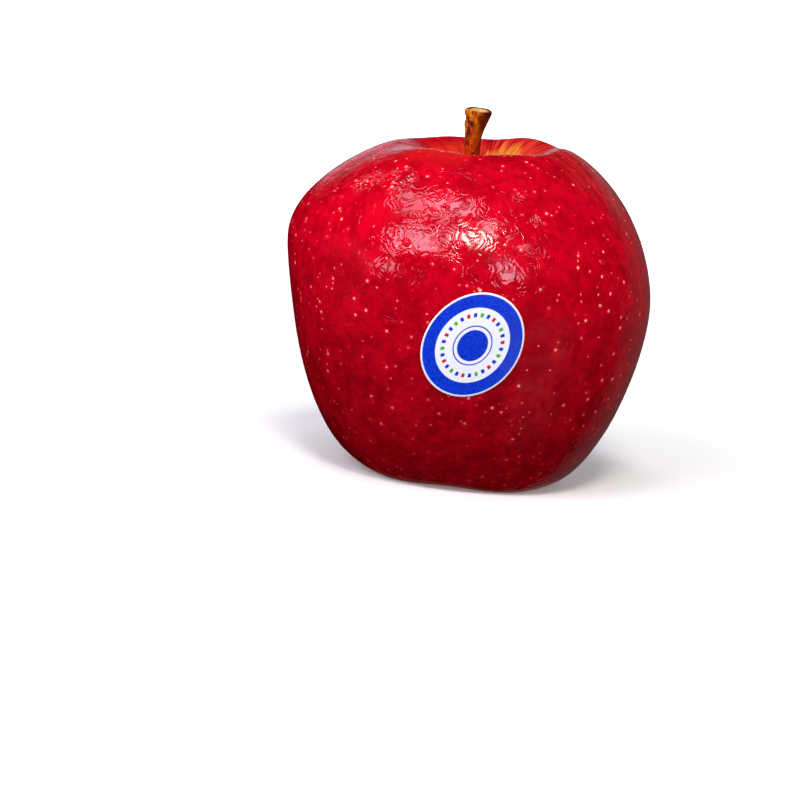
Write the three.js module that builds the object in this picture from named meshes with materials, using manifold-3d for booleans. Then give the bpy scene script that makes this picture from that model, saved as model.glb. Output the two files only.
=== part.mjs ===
// A ripe red apple resting on its calyx end: the fruit, its woody stem, the dried calyx, a paper label.
// Millimetres, +Z up. The origin is on the surface that the apple rests on, under its middle.
import * as THREE from 'three';
import { mergeVertices } from 'three/addons/utils/BufferGeometryUtils.js';
import Module from 'manifold-3d';

// Sizes that change around the fruit: the mean, then what is added toward +X (east) and +Y (north).
const CREST_RADIUS = { mean: 17.7, east: -0.3, north: -0.5 };
const CREST_HEIGHT = { mean: 72.45, east: 1.0, north: 0.8 };
const CHEEK_RADIUS = { mean: 40.3, east: -0.4, north: 0 };
const CHEEK_HEIGHT = { mean: 45.0, east: -4.0, north: 0 };
const FOOT_RADIUS = { mean: 19.4, east: 2.5, north: 0 };

// How far the outline runs straight on from its knots before it bends.
const SHOULDER_ABOVE_CHEEK = { mean: 16.3, east: 3.8, north: 0 };
const SOLE_OUTSIDE_FOOT = { mean: 12.3, east: -3.3, north: 0 };
const SOLE_INSIDE_FOOT = 6.5;
const LIP_OUTSIDE_CREST = 4.6;

// The stem cavity's floor and the calyx basin's floor, with their slopes, and the sockets in them.
const CAVITY_FLOOR = { radius: 2.15, height: 59 };
const CAVITY_RISE = { out: 1.5, up: 6.5 };
const STEM_SOCKET_BOTTOM = 56;
const BASIN_FLOOR = { radius: 3.4, height: 7.5 };
const BASIN_RISE = { out: 1.5, down: 3.5 };
const CALYX_SOCKET_TOP = 9.5;

// Five weak lobes, one for each seed chamber, strongest at the foot, where the apple rests on them.
const LOBES = 5;
const LOBE_PHASE = THREE.MathUtils.degToRad(18);
const LOBE_ON_CREST_HEIGHT = { mean: -0.1, east: -0.4, north: -0.3 };
const LOBE_ON_CREST_RADIUS = 0.3;
const LOBE_ON_CHEEK_RADIUS = 0.25;
const GROOVE_BETWEEN_FEET = 0.7;
const FOOT_PRESSED_FLAT = 0.35;

// Slow swells of the skin: how many around, how far they push, and how they turn with height.
const SWELLS = [
  { around: 2, push: 0.29, turn: 0.08, start: -0.25 },
  { around: 3, push: 0.2, turn: -0.11, start: 4.7 },
  { around: 7, push: 0.09, turn: 0.2, start: 0 },
];

const FRUIT_SIDES = 84;
const CAVITY_ROWS = 7;
const SHOULDER_ROWS = 10;
const FLANK_ROWS = 12;
const BASIN_ROWS = 8;

const STEM_CLEARANCE = 0.3;
const STEM_PATH = [
  [0, 0, STEM_SOCKET_BOTTOM + STEM_CLEARANCE],
  [0, 0, 61.5],
  [-1.7, 0, 67.5],
  [-2.35, 0, 73.5],
  [-1.55, 0, 80.2],
];
const STEM_WIDTHS = [3.6, 3.5, 3.6, 3.9, 6.4];
const STEM_SIDES = 20;
const STEM_ROWS = 18;
const STEM_SLANT_START = 0.6;
const STEM_CUT_RISE_NORTH = Math.tan(THREE.MathUtils.degToRad(7.5));
const STEM_CUT_RISE_WEST = Math.tan(THREE.MathUtils.degToRad(2.5));

const CALYX_RADIUS = 3.1;
const CALYX_TOP = 9.2;
const CALYX_FACE = 6.5;
const CALYX_BEVEL = 0.5;
const CALYX_SIDES = 30;
const SEPAL_THICKNESS = 0.65;
const SEPAL_WIDTH = 2.6;
const SEPAL_TIP_WIDTH = 0.7;
const SEPAL_PATH = [[2.0, 7.4], [3.1, 6.0], [4.3, 4.7], [4.4, 3.5], [3.6, 2.7]];
const SEPAL_ROWS = 10;
const SEPAL_SIDES = 6;
const STAMENS = 9;
const STAMEN_WIDTH = 0.7;
const STAMEN_SIDES = 5;
const STAMEN_ROOT = { radius: 1.2, height: 7.1 };
const STAMEN_END = { radius: 1.8, height: 4.6 };

// The label is an upright oval, leaning to the right, on the side toward -Y.
const LABEL_AZIMUTH = THREE.MathUtils.degToRad(-87);
const LABEL_HEIGHT = 33.8;
const LABEL_LEAN = THREE.MathUtils.degToRad(57.4);
const LABEL_LENGTH = 24.0;
const LABEL_WIDTH = 19.8;
const LABEL_GAP = 0.15;
const LABEL_THICKNESS = 0.3;
const LABEL_SIDES = 36;
const LABEL_RINGS = 5;

const wasm = await Module();
wasm.setup();

// A size that changes around the fruit, in the direction theta.
function around(size, theta) {
  return size.mean + size.east * Math.cos(theta) + size.north * Math.sin(theta);
}

// How far the outline runs on past a knot to bend as it does before the knot, where it runs by reach.
// The depths say how far each stretch's other handle lies off the straight line through the knot.
function evenReach(reach, depthBefore, depthAfter) {
  return reach * Math.sqrt(depthAfter / depthBefore);
}

// The four stretches of the outline in the direction theta, as cubic curves of (radius, height).
function outline(theta) {
  const lobe = Math.cos(LOBES * (theta - LOBE_PHASE));
  const floor = new THREE.Vector2(CAVITY_FLOOR.radius, CAVITY_FLOOR.height);
  const crest = new THREE.Vector2(
    around(CREST_RADIUS, theta) + LOBE_ON_CREST_RADIUS * lobe,
    around(CREST_HEIGHT, theta) + around(LOBE_ON_CREST_HEIGHT, theta) * lobe,
  );
  const cheek = new THREE.Vector2(
    around(CHEEK_RADIUS, theta) + LOBE_ON_CHEEK_RADIUS * lobe,
    around(CHEEK_HEIGHT, theta),
  );
  const foot = new THREE.Vector2(
    around(FOOT_RADIUS, theta),
    GROOVE_BETWEEN_FEET * (1 - lobe) / 2 - FOOT_PRESSED_FLAT,
  );
  const eye = new THREE.Vector2(BASIN_FLOOR.radius, BASIN_FLOOR.height);
  const above = around(SHOULDER_ABOVE_CHEEK, theta);
  const outside = around(SOLE_OUTSIDE_FOOT, theta);
  const below = evenReach(above, cheek.x - crest.x - LIP_OUTSIDE_CREST, cheek.x - foot.x - outside);
  const lip = evenReach(
    LIP_OUTSIDE_CREST,
    crest.y - cheek.y - above,
    crest.y - floor.y - CAVITY_RISE.up,
  );
  const stretch = (start, startOut, startUp, endOut, endUp, end) => new THREE.CubicBezierCurve(
    start,
    new THREE.Vector2(start.x + startOut, start.y + startUp),
    new THREE.Vector2(end.x + endOut, end.y + endUp),
    end,
  );
  return [
    stretch(floor, CAVITY_RISE.out, CAVITY_RISE.up, -lip, 0, crest),
    stretch(crest, LIP_OUTSIDE_CREST, 0, 0, above, cheek),
    stretch(cheek, 0, -below, outside, 0, foot),
    stretch(foot, -SOLE_INSIDE_FOOT, 0, BASIN_RISE.out, -BASIN_RISE.down, eye),
  ];
}

// A point of the skin: the stretch and the place along it, swollen, and flat where it rests.
function skinPoint(theta, curve, along) {
  const flat = curve.getPoint(along);
  let push = 0;
  for (const swell of SWELLS) {
    push += swell.push * Math.sin(swell.around * theta + swell.turn * flat.y + swell.start);
  }
  const width = CHEEK_RADIUS.mean;
  const radius = flat.x * (1 + push * flat.x / (width * width));
  return new THREE.Vector3(radius * Math.cos(theta), radius * Math.sin(theta), Math.max(flat.y, 0));
}

// The skin's radius at a height between the foot and the crest, by halving.
function skinRadius(theta, height) {
  const [, shoulder, flank] = outline(theta);
  const curve = height > shoulder.v3.y ? shoulder : flank;
  let low = 0;
  let high = 1;
  for (let step = 0; step < 24; step += 1) {
    const middle = (low + high) / 2;
    if (curve.getPoint(middle).y > height) low = middle;
    else high = middle;
  }
  const point = skinPoint(theta, curve, low);
  return Math.hypot(point.x, point.y);
}

// A closed mesh from rings of points. The rings run down from the first end, counter-clockwise
// as seen from outside that end, and a middle point closes each end.
function solidFromRings(rings, firstMiddle, lastMiddle) {
  const sides = rings[0].length;
  const positions = [firstMiddle, ...rings.flat(), lastMiddle].flatMap((point) => point.toArray());
  const last = rings.length * sides + 1;
  const corner = (ring, side) => 1 + ring * sides + (side % sides);
  const faces = [];
  for (let side = 0; side < sides; side += 1) {
    faces.push(0, corner(0, side), corner(0, side + 1));
    faces.push(last, corner(rings.length - 1, side + 1), corner(rings.length - 1, side));
    for (let ring = 0; ring + 1 < rings.length; ring += 1) {
      faces.push(corner(ring, side), corner(ring + 1, side), corner(ring, side + 1));
      faces.push(corner(ring, side + 1), corner(ring + 1, side), corner(ring + 1, side + 1));
    }
  }
  const geometry = new THREE.BufferGeometry();
  geometry.setAttribute('position', new THREE.Float32BufferAttribute(positions, 3));
  geometry.setIndex(faces);
  geometry.computeVertexNormals();
  return geometry;
}

// A level ring of points, counter-clockwise as seen from above.
function levelRing(radius, height, sides) {
  return Array.from({ length: sides }, (_, side) => {
    const theta = (2 * Math.PI * side) / sides;
    return new THREE.Vector3(radius * Math.cos(theta), radius * Math.sin(theta), height);
  });
}

// The fruit in one piece, from the stem's socket over the skin to the calyx's socket.
function fruitGeometry() {
  const thetas = Array.from({ length: FRUIT_SIDES }, (_, side) => (2 * Math.PI * side) / FRUIT_SIDES);
  const outlines = thetas.map(outline);
  const rings = [levelRing(CAVITY_FLOOR.radius, STEM_SOCKET_BOTTOM, FRUIT_SIDES)];
  const rows = [CAVITY_ROWS, SHOULDER_ROWS, FLANK_ROWS, BASIN_ROWS];
  rows.forEach((count, stretch) => {
    for (let row = 0; row < count; row += 1) {
      // The rows gather at the knots, where the outline bends most.
      const along = (1 - Math.cos((Math.PI * row) / count)) / 2;
      rings.push(thetas.map((theta, side) => skinPoint(theta, outlines[side][stretch], along)));
    }
  });
  rings.push(levelRing(BASIN_FLOOR.radius, BASIN_FLOOR.height, FRUIT_SIDES));
  rings.push(levelRing(BASIN_FLOOR.radius, CALYX_SOCKET_TOP, FRUIT_SIDES));
  const bottomOfSocket = new THREE.Vector3(0, 0, STEM_SOCKET_BOTTOM);
  const topOfSocket = new THREE.Vector3(0, 0, CALYX_SOCKET_TOP);
  return solidFromRings(rings, bottomOfSocket, topOfSocket);
}

// The stem: round rings along a leaning path, wider toward the top, with a slanting cut there.
function stemGeometry() {
  const path = new THREE.CatmullRomCurve3(STEM_PATH.map((point) => new THREE.Vector3(...point)));
  const widths = new THREE.SplineCurve(STEM_WIDTHS.map((width, index) => new THREE.Vector2(index, width)));
  const rings = [];
  for (let row = STEM_ROWS; row >= 0; row -= 1) {
    const along = row / STEM_ROWS;
    const middle = path.getPoint(along);
    const slant = THREE.MathUtils.smoothstep(along, STEM_SLANT_START, 1);
    const ring = levelRing(widths.getPoint(along).y / 2, middle.z, STEM_SIDES);
    for (const point of ring) {
      point.z += slant * (point.y * STEM_CUT_RISE_NORTH - point.x * STEM_CUT_RISE_WEST);
      point.x += middle.x;
      point.y += middle.y;
    }
    rings.push(ring);
  }
  return solidFromRings(rings, path.getPoint(1), path.getPoint(0));
}

// A solid as the boolean library takes it.
function toManifold(geometry) {
  const bare = geometry.clone();
  bare.deleteAttribute('normal');
  const merged = mergeVertices(bare, 1e-5);
  return new wasm.Manifold(new wasm.Mesh({
    numProp: 3,
    vertProperties: merged.getAttribute('position').array,
    triVerts: new Uint32Array(merged.getIndex().array),
  }));
}

function fromManifold(solid) {
  const mesh = solid.getMesh();
  const geometry = new THREE.BufferGeometry();
  geometry.setAttribute('position', new THREE.BufferAttribute(mesh.vertProperties, 3));
  geometry.setIndex(new THREE.BufferAttribute(mesh.triVerts, 1));
  geometry.computeVertexNormals();
  return geometry;
}

// One dried sepal: a blade that hangs from the calyx, narrows and curls in at its tip.
function sepalGeometry() {
  const path = new THREE.SplineCurve(SEPAL_PATH.map(([out, up]) => new THREE.Vector2(out, up)));
  const rings = [];
  for (let row = 0; row <= SEPAL_ROWS; row += 1) {
    const along = row / SEPAL_ROWS;
    const middle = path.getPoint(along);
    const heading = path.getTangent(along);
    const halfWidth = THREE.MathUtils.lerp(SEPAL_WIDTH, SEPAL_TIP_WIDTH, along * along) / 2;
    rings.push(levelRing(1, 0, SEPAL_SIDES).map((point) => {
      const across = point.y * halfWidth;
      const outward = point.x * SEPAL_THICKNESS / 2;
      return new THREE.Vector3(middle.x - heading.y * outward, across, middle.y + heading.x * outward);
    }));
  }
  const [root, tip] = [path.getPoint(0), path.getPoint(1)];
  return solidFromRings(rings, new THREE.Vector3(root.x, 0, root.y), new THREE.Vector3(tip.x, 0, tip.y));
}

// One dried stamen: a thin rod that leans a little outward.
function stamenGeometry(theta) {
  const [root, end] = [STAMEN_ROOT, STAMEN_END].map((place) => (
    new THREE.Vector3(place.radius * Math.cos(theta), place.radius * Math.sin(theta), place.height)
  ));
  const ringAt = (middle) => levelRing(STAMEN_WIDTH / 2, 0, STAMEN_SIDES).map((point) => point.add(middle));
  return solidFromRings([ringAt(root), ringAt(end)], root, end);
}

// The calyx: the button in its socket, five sepals and a tuft of stamens, grown together.
function calyxGeometry() {
  const button = solidFromRings(
    [
      levelRing(CALYX_RADIUS, CALYX_TOP, CALYX_SIDES),
      levelRing(CALYX_RADIUS, CALYX_FACE + CALYX_BEVEL, CALYX_SIDES),
      levelRing(CALYX_RADIUS - CALYX_BEVEL, CALYX_FACE, CALYX_SIDES),
    ],
    new THREE.Vector3(0, 0, CALYX_TOP),
    new THREE.Vector3(0, 0, CALYX_FACE),
  );
  let solid = toManifold(button);
  for (let sepal = 0; sepal < LOBES; sepal += 1) {
    const turned = sepalGeometry().rotateZ(LOBE_PHASE + ((sepal + 0.5) * 2 * Math.PI) / LOBES);
    solid = solid.add(toManifold(turned));
  }
  for (let stamen = 0; stamen < STAMENS; stamen += 1) {
    solid = solid.add(toManifold(stamenGeometry((2 * Math.PI * stamen) / STAMENS)));
  }
  return fromManifold(solid);
}

// The label: an oval that follows the skin, thin, just clear of it.
function labelGeometry() {
  const outward = new THREE.Vector3(Math.cos(LABEL_AZIMUTH), Math.sin(LABEL_AZIMUTH), 0);
  const sideways = new THREE.Vector3(-outward.y, outward.x, 0);
  const middle = outward.clone().multiplyScalar(skinRadius(LABEL_AZIMUTH, LABEL_HEIGHT));
  middle.z = LABEL_HEIGHT;
  const alongLength = sideways.clone().multiplyScalar(Math.cos(LABEL_LEAN));
  alongLength.z = Math.sin(LABEL_LEAN);
  const alongWidth = sideways.clone().multiplyScalar(-Math.sin(LABEL_LEAN));
  alongWidth.z = Math.cos(LABEL_LEAN);

  // A point of the label, from a flat oval pressed back until it lies off the skin by a distance.
  const pressed = (share, angle, off) => {
    const point = middle.clone();
    point.addScaledVector(alongLength, share * (LABEL_LENGTH / 2) * Math.cos(angle));
    point.addScaledVector(alongWidth, share * (LABEL_WIDTH / 2) * Math.sin(angle));
    for (let step = 0; step < 6; step += 1) {
      const radius = Math.hypot(point.x, point.y);
      point.addScaledVector(outward, skinRadius(Math.atan2(point.y, point.x), point.z) + off - radius);
    }
    return point;
  };
  const ringAt = (share, off) => Array.from({ length: LABEL_SIDES }, (_, side) => (
    pressed(share, (2 * Math.PI * side) / LABEL_SIDES, off)
  ));
  const inner = LABEL_GAP;
  const outer = LABEL_GAP + LABEL_THICKNESS;
  const shares = Array.from({ length: LABEL_RINGS }, (_, ring) => (ring + 1) / LABEL_RINGS);
  const rings = shares.map((share) => ringAt(share, outer));
  rings.push(...shares.reverse().map((share) => ringAt(share, inner)));
  return solidFromRings(rings, pressed(0, 0, outer), pressed(0, 0, inner));
}

const skin = new THREE.MeshStandardMaterial({ color: '#b0061c', roughness: 0.22, metalness: 0 });
const wood = new THREE.MeshStandardMaterial({ color: '#7c3d16', roughness: 0.75, metalness: 0 });
const driedLeaf = new THREE.MeshStandardMaterial({ color: '#5b4228', roughness: 0.9, metalness: 0 });
const paper = new THREE.MeshStandardMaterial({ color: '#4a78cf', roughness: 0.4, metalness: 0 });

const apple = new THREE.Group();
const pieces = [
  ['fruit', fruitGeometry(), skin],
  ['stem', stemGeometry(), wood],
  ['calyx', calyxGeometry(), driedLeaf],
  ['label', labelGeometry(), paper],
];
for (const [name, geometry, material] of pieces) {
  const mesh = new THREE.Mesh(geometry, material);
  mesh.name = name;
  apple.add(mesh);
}

export default apple;
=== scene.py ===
"""The looks of a ripe red apple: its wet, freckled skin, woody stem, dried calyx and paper label.

The lengths below are in millimetres, in the frame of the CAD part, and become metres in the meshes.
"""
import math

import bpy
import numpy as np
from mathutils import Matrix, Vector, noise

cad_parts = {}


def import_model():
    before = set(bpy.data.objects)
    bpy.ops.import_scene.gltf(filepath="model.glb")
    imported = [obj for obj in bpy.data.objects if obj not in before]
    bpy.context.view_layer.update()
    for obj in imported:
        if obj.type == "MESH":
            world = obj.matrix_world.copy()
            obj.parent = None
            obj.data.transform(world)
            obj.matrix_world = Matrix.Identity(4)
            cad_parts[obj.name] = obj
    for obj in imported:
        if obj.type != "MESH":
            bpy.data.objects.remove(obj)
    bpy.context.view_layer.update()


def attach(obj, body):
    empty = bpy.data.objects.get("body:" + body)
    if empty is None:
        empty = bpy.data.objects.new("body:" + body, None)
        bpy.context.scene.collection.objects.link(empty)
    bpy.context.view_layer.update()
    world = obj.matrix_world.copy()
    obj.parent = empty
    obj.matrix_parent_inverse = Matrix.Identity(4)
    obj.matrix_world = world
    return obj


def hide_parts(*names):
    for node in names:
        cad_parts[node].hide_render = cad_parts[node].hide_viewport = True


MM = 0.001
SEED = 11

# The fruit's outline, as in the CAD part: mean, then what is added toward +X and toward +Y.
CREST_RADIUS = (17.7, -0.3, -0.5)
CREST_HEIGHT = (72.45, 1.0, 0.8)
CHEEK_RADIUS = (40.3, -0.4, 0.0)
CHEEK_HEIGHT = (45.0, -4.0, 0.0)
FOOT_RADIUS = (19.4, 2.5, 0.0)
SHOULDER_ABOVE_CHEEK = (16.3, 3.8, 0.0)
SOLE_OUTSIDE_FOOT = (12.3, -3.3, 0.0)
SOLE_INSIDE_FOOT = 6.5
LIP_OUTSIDE_CREST = 4.6
CAVITY_FLOOR = (2.15, 59.0)
CAVITY_RISE = (1.5, 6.5)
BASIN_FLOOR = (3.4, 7.5)
BASIN_RISE = (1.5, -3.5)
LOBES = 5
LOBE_PHASE = math.radians(18)
LOBE_ON_CREST_HEIGHT = (-0.1, -0.4, -0.3)
LOBE_ON_CREST_RADIUS = 0.3
LOBE_ON_CHEEK_RADIUS = 0.25
GROOVE_BETWEEN_FEET = 0.7
FOOT_PRESSED_FLAT = 0.35
# Each swell: how many around, how far it pushes, how it turns with height, where it starts.
SWELLS = ((2, 0.29, 0.08, -0.25), (3, 0.2, -0.11, 4.7), (7, 0.09, 0.2, 0.0))

# The fine skin lies this far inside the CAD part's formula, so its dents never reach past it.
SKIN_INSET = 0.06
DENT_DEPTH = 0.05
# Dents are a sum of slow noises: the share and the fineness of each.
DENT_NOISES = ((0.65, 0.16), (0.35, 0.42))
UNDENTED_HEIGHT = 1.5
SKIN_SIDES = 300
SKIN_ROWS = (38, 84, 88, 36)
# How much the rows gather at the outline's knots, and how far the ends of the skin are drawn in.
ROW_GATHER = 0.4
SKIN_END = 0.4

STEM_PATH = ((0, 0, 57.0), (0, 0, 61.5), (-1.7, 0, 67.5), (-2.35, 0, 73.5), (-1.55, 0, 80.0))
STEM_WIDTHS = (3.5, 3.4, 3.5, 3.8, 6.2)
STEM_SIDES = 72
STEM_ROWS = 130
# The bark, as shares of the stem's radius: its mean, its small roughness and its ridges.
# Each ridge: how many around, how they turn along the stem, how far they stand out.
STEM_BARK = 0.95
STEM_ROUGHNESS = 0.06
STEM_RIDGES = ((5, 3, 0.025), (11, -7, 0.015))
# Knobs of the stem: which way they face, how far up they sit, how far they stand out, how tall they are.
STEM_KNOBS = (
    (-2.9, 0.97, 0.13, 0.025),
    (-3.0, 0.86, 0.08, 0.03),
    (-1.9, 0.73, 0.07, 0.05),
    (-0.6, 0.5, 0.06, 0.05),
)
STEM_KNOB_SPREAD = 0.12
# The cut: where its rounded edge starts, how far that draws in, how deep the hollow is, and its rings.
STEM_EDGE_START = 0.975
STEM_EDGE_ROUNDING = 0.07
STEM_CUT_DEPTH = 0.22
STEM_CUT_SHARES = (0.15, 0.35, 0.55, 0.75, 0.9)
STEM_SLANT_START = 0.6
STEM_CUT_RISE_NORTH = math.tan(math.radians(7.5))
STEM_CUT_RISE_WEST = math.tan(math.radians(2.5))

# The calyx grows from a cup; its profile is in (radius, height).
CALYX_RADIUS = 3.0
CALYX_ROOT = 9.0
CALYX_CUP = ((0.9, CALYX_ROOT), (CALYX_RADIUS, CALYX_ROOT), (CALYX_RADIUS, 7.0), (2.5, 6.6), (1.2, 7.3))
CALYX_CUP_MIDDLE = 7.5
CALYX_CUP_SIDES = 60
SEPAL_PATH = ((2.0, 7.4), (3.1, 6.0), (4.3, 4.7), (4.4, 3.5), (3.6, 2.8))
SEPAL_WIDTH = 2.5
SEPAL_TIP = 0.1
SEPAL_THICKNESS = 0.17
SEPAL_WAVE = 0.08
SEPAL_ROWS = 26
SEPAL_SIDES = 16
STAMENS = 14
STAMEN_RADII = (0.12, 0.12, 0.11, 0.1, 0.1, 0.1, 0.14, 0.2, 0.14)
STAMEN_SIDES = 8

LABEL_AZIMUTH = math.radians(-87)
LABEL_HEIGHT = 33.8
LABEL_LEAN = math.radians(57.4)
LABEL_LENGTH = 23.8
LABEL_WIDTH = 19.6
LABEL_THICKNESS = 0.11
# Wrinkles at the label's edge: where they start, and how far they lift.
LABEL_WRINKLE_START = 0.72
LABEL_WRINKLE_LIFT = 0.09
LABEL_SIDES = 180
LABEL_RINGS = 40

# Patches of painted glints on the skin, white flecks that stand in for sparkles of light off the wet skin:
# azimuth in degrees, height and how far they spread.
PAINTED_GLINT_SPOTS = ((-122.6, 65.2, 5.0), (-136.0, 64.0, 4.5), (-73.9, 64.1, 2.2), (-69.2, 60.1, 1.8))

# Beads of water: azimuth in degrees, height, and half their width.
LARGE_BEADS = (
    (-110.3, 53.4, 1.0), (-72.6, 64.4, 0.95), (-70.6, 65.4, 0.5), (-45.7, 52.3, 0.8), (-101.2, 61.4, 0.5),
    (-99.8, 61.2, 0.45), (-66.0, 59.5, 0.6), (-142.5, 60.0, 0.6), (-128.0, 66.0, 0.5), (-87.5, 63.5, 0.45),
    (-60.0, 62.0, 0.5), (-140.0, 51.5, 0.7),
)
SMALL_BEADS = 60
SMALL_BEAD_HEIGHTS = (49, 70)
SMALL_BEAD_SIZES = (0.14, 0.36)
# No bead reaches farther out than this, along X or Y.
BEAD_LIMIT = 39.8
# A bead's height over half its width, how much of that its middle sinks into the skin, and the
# polar angles in degrees between which its rings run.
BEAD_RISE = 0.6
BEAD_SUNK = 0.3
BEAD_POLAR = (8, 104)
BEAD_ROWS = 13
BEAD_SIDES = 24

# The camera stands where the photograph was taken from, and leans by its roll.
CAMERA_DISTANCE = 550.0
CAMERA_ELEVATION = math.radians(7.0)
CAMERA_ROLL = math.radians(5.6)
CAMERA_AIM_WEST = 12.5
CAMERA_AIM_DOWN = 23.05
CAMERA_MIDDLE = 38.0
CAMERA_LENS = 112.5

# Softboxes, each placed so that its reflection shows at this azimuth and height on the skin.
# Together they make the broken highlights of the photograph; wide and tall are angles in degrees.
# A softbox may have a colour of its own, and be hidden from a kind of ray.
SOFTBOXES = (
    {"name": "window_top", "azimuth": -98.6, "height": 61.5, "wide": 22, "tall": 12, "radiance": 9.0},
    {"name": "window_top_left", "azimuth": -113, "height": 61.0, "wide": 30, "tall": 13, "radiance": 5.0,
     "hidden": ("diffuse",)},
    {"name": "window_left", "azimuth": -109, "height": 54.0, "wide": 30, "tall": 24, "radiance": 9.0},
    {"name": "window_tail", "azimuth": -115.5, "height": 48.0, "wide": 17, "tall": 12, "radiance": 6.0},
    {"name": "window_middle", "azimuth": -98, "height": 56.0, "wide": 14, "tall": 16, "radiance": 4.5},
    {"name": "lamp", "azimuth": -89.2, "height": 55.6, "wide": 14, "tall": 14, "radiance": 34.0,
     "colour": (1.0, 0.95, 0.86)},
    {"name": "lamp_strip", "azimuth": -84.5, "height": 58.0, "wide": 8, "tall": 14, "radiance": 10.0},
    {"name": "door_right", "azimuth": -79.3, "height": 50.0, "wide": 11, "tall": 26, "radiance": 9.5},
    {"name": "door_top", "azimuth": -73.0, "height": 54.6, "wide": 15, "tall": 8, "radiance": 4.0},
    {"name": "lip_glint", "azimuth": -157.0, "height": 70.6, "wide": 26, "tall": 12, "radiance": 0.6,
     "hidden": ("diffuse",)},
)
SOFTBOX_DISTANCE = 3000.0
SOFTBOX_COLOUR = (0.84, 0.8, 1.0)
# The other lights, by their place; each is hidden from the kinds of rays that it must not serve.
WHITE = (1.0, 1.0, 1.0)
STUDIO_LIGHTS = (
    {"name": "backdrop_light", "place": (0, 1500, 1500), "aim": (0, 3200, 0), "wide": 2400, "tall": 2400,
     "radiance": 6.0, "colour": WHITE, "hidden": ("glossy",)},
    {"name": "left_fill", "place": (-4200, -630, -85), "aim": (0, 0, 30), "wide": 3780, "tall": 2940,
     "radiance": 4.0, "colour": WHITE, "hidden": ("glossy", "camera")},
    {"name": "low_right_fill", "place": (680, -520, -560), "aim": (0, 0, 30), "wide": 700, "tall": 600,
     "radiance": 3.9, "colour": WHITE, "hidden": ("glossy", "camera")},
    {"name": "back_fill", "place": (1260, 4200, 1050), "aim": (0, 0, 40), "wide": 3780, "tall": 2940,
     "radiance": 2.0, "colour": WHITE, "hidden": ("glossy", "camera")},
    {"name": "edge_panel", "place": (620, 1300, -200), "aim": (0, 0, 40), "wide": 1900, "tall": 1900,
     "radiance": 0.075, "colour": WHITE, "hidden": ("diffuse", "camera")},
    {"name": "lip_panel", "place": (0, 1300, 450), "aim": (0, 0, 40), "wide": 1500, "tall": 500,
     "radiance": 0.1, "colour": WHITE, "hidden": ("diffuse", "camera")},
    {"name": "floor_glow", "place": (60, 1300, -1000), "aim": (0, 0, 40), "wide": 950, "tall": 900,
     "radiance": 0.09, "colour": (1.0, 0.72, 0.5), "hidden": ("diffuse", "camera")},
)
SKY_RADIANCE = 0.12
# The floor: its rings, then the bend up into the wall.
FLOOR_RINGS = (60.0, 400.0, 1200.0, 2600.0)
FLOOR_SIDES = 96
BOWL_BEND = 900.0
BOWL_STEPS = 12
BOWL_HEIGHT = 2200.0
FLOOR_COLOUR = (0.93, 0.95, 0.92, 1.0)
FLOOR_GLOW = 0.16

# Colours as they look on a screen, from 0 to 255; a pair runs from the darker one to the paler.
SKIN_ABOVE = ((164, 0, 19), (202, 2, 30))
# The colour toward the foot is partly the skin's own and partly painted shade.
SKIN_BELOW_WITH_PAINTED_SHADE = ((108, 0, 9), (142, 2, 15))
SKIN_GROUND = ((230, 62, 42), (250, 164, 48))
SKIN_WARM = (238, 72, 26)
SKIN_LINES = ((118, 8, 20), (214, 74, 58))
SKIN_BLUSH = (248, 48, 30)
SKIN_BASIN = (196, 142, 62)
SKIN_HALO = (244, 12, 36)
SKIN_FRECKLES = ((190, 74, 70), (255, 198, 184))
SKIN_PAINTED_GLINT = (255, 214, 214)
STEM_BARK_DARK = (136, 36, 2)
STEM_BARK_FRESH = ((192, 52, 1), (208, 118, 6))
STEM_PAINTED_SHADE = (70, 16, 5)
STEM_PATCH = (84, 20, 6)
STEM_FLECK = (28, 8, 4)
STEM_CUT_EDGE = (104, 44, 12)
STEM_PITH = ((214, 140, 62), (250, 216, 140))
CALYX_LEAF = ((58, 40, 22), (138, 108, 66))
CALYX_WOOL = (176, 158, 122)
LABEL_BLUE = ((3, 42, 184), (10, 62, 212))
LABEL_WHITE = ((232, 237, 246), (243, 246, 252))
LABEL_RED = (206, 24, 44)
LABEL_GREEN = (74, 176, 52)
WATER = ((190, 4, 26), (240, 22, 50))
# Two sizes of freckle: how close they stand, how far the core and the edge reach, and the random value
# that one has to pass to show, at the foot and at the shoulder.
FRECKLE_SIZES = ((400.0, 0.06, 0.17, 0.56, 0.6), (640.0, 0.03, 0.15, 0.6, 0.74))


def around(size, theta):
    """A size that changes around the fruit, in the direction theta."""
    return size[0] + size[1] * np.cos(theta) + size[2] * np.sin(theta)


def even_reach(reach, depth_before, depth_after):
    """How far the outline runs on past a knot, so that it bends as it does before the knot."""
    return reach * np.sqrt(depth_after / depth_before)


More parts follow.
